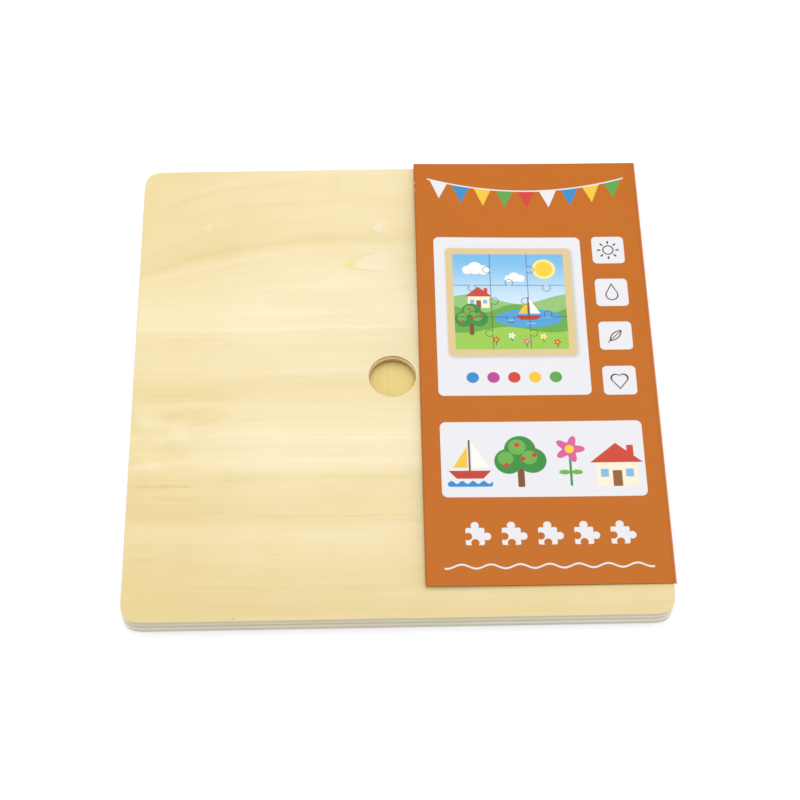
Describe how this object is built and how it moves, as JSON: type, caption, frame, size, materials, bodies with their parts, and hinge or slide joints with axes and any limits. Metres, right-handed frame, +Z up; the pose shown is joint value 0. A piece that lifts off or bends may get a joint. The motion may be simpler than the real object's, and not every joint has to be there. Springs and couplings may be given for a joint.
{
  "type": "inlay puzzle",
  "caption": "Square wooden inlay puzzle lying face down: loose jigsaw tiles in a framed plywood tray with a finger hole in its back, and a printed packaging card folded round its side.",
  "frame": {"origin": "middle of the board, on the surface that the tiles' faces lie on", "axes": "+Z up, out of the tray's back; +X towards the edge that the card is folded round; +Y away from the viewer, towards the picture's top"},
  "size_m": [0.2261, 0.2259, 0.0134],
  "materials": {
    "backing_plywood": "satin",
    "frame_plywood": "satin",
    "tile_plywood": "satin",
    "printed_card": "satin"
  },
  "bodies": {
    "board": {"backing_board": "backing_plywood", "frame": "frame_plywood"},
    "tile_far_left": {"tile_far_left": "tile_plywood"},
    "tile_far_centre": {"tile_far_centre": "tile_plywood"},
    "tile_far_right": {"tile_far_right": "tile_plywood"},
    "tile_middle_left": {"tile_middle_left": "tile_plywood"},
    "tile_middle_centre": {"tile_middle_centre": "tile_plywood"},
    "tile_middle_right": {"tile_middle_right": "tile_plywood"},
    "tile_near_left": {"tile_near_left": "tile_plywood"},
    "tile_near_centre": {"tile_near_centre": "tile_plywood"},
    "tile_near_right": {"tile_near_right": "tile_plywood"},
    "card": {"card_sleeve": "printed_card"}
  },
  "joints": [
    {"name": "card_pull", "type": "slide", "parent": "board", "child": "card", "axis": [1, 0, 0], "range_m": [0, 0.11]},
    {"name": "far_left_out", "type": "slide", "parent": "board", "child": "tile_far_left", "axis": [0, 0, -1], "range_m": [0, 0.03]},
    {"name": "far_centre_out", "type": "slide", "parent": "board", "child": "tile_far_centre", "axis": [0, 0, -1], "range_m": [0, 0.03]},
    {"name": "far_right_out", "type": "slide", "parent": "board", "child": "tile_far_right", "axis": [0, 0, -1], "range_m": [0, 0.03]},
    {"name": "middle_left_out", "type": "slide", "parent": "board", "child": "tile_middle_left", "axis": [0, 0, -1], "range_m": [0, 0.03]},
    {"name": "middle_centre_out", "type": "slide", "parent": "board", "child": "tile_middle_centre", "axis": [0, 0, -1], "range_m": [0, 0.03]},
    {"name": "middle_right_out", "type": "slide", "parent": "board", "child": "tile_middle_right", "axis": [0, 0, -1], "range_m": [0, 0.03]},
    {"name": "near_left_out", "type": "slide", "parent": "board", "child": "tile_near_left", "axis": [0, 0, -1], "range_m": [0, 0.03]},
    {"name": "near_centre_out", "type": "slide", "parent": "board", "child": "tile_near_centre", "axis": [0, 0, -1], "range_m": [0, 0.03]},
    {"name": "near_right_out", "type": "slide", "parent": "board", "child": "tile_near_right", "axis": [0, 0, -1], "range_m": [0, 0.03]}
  ]
}
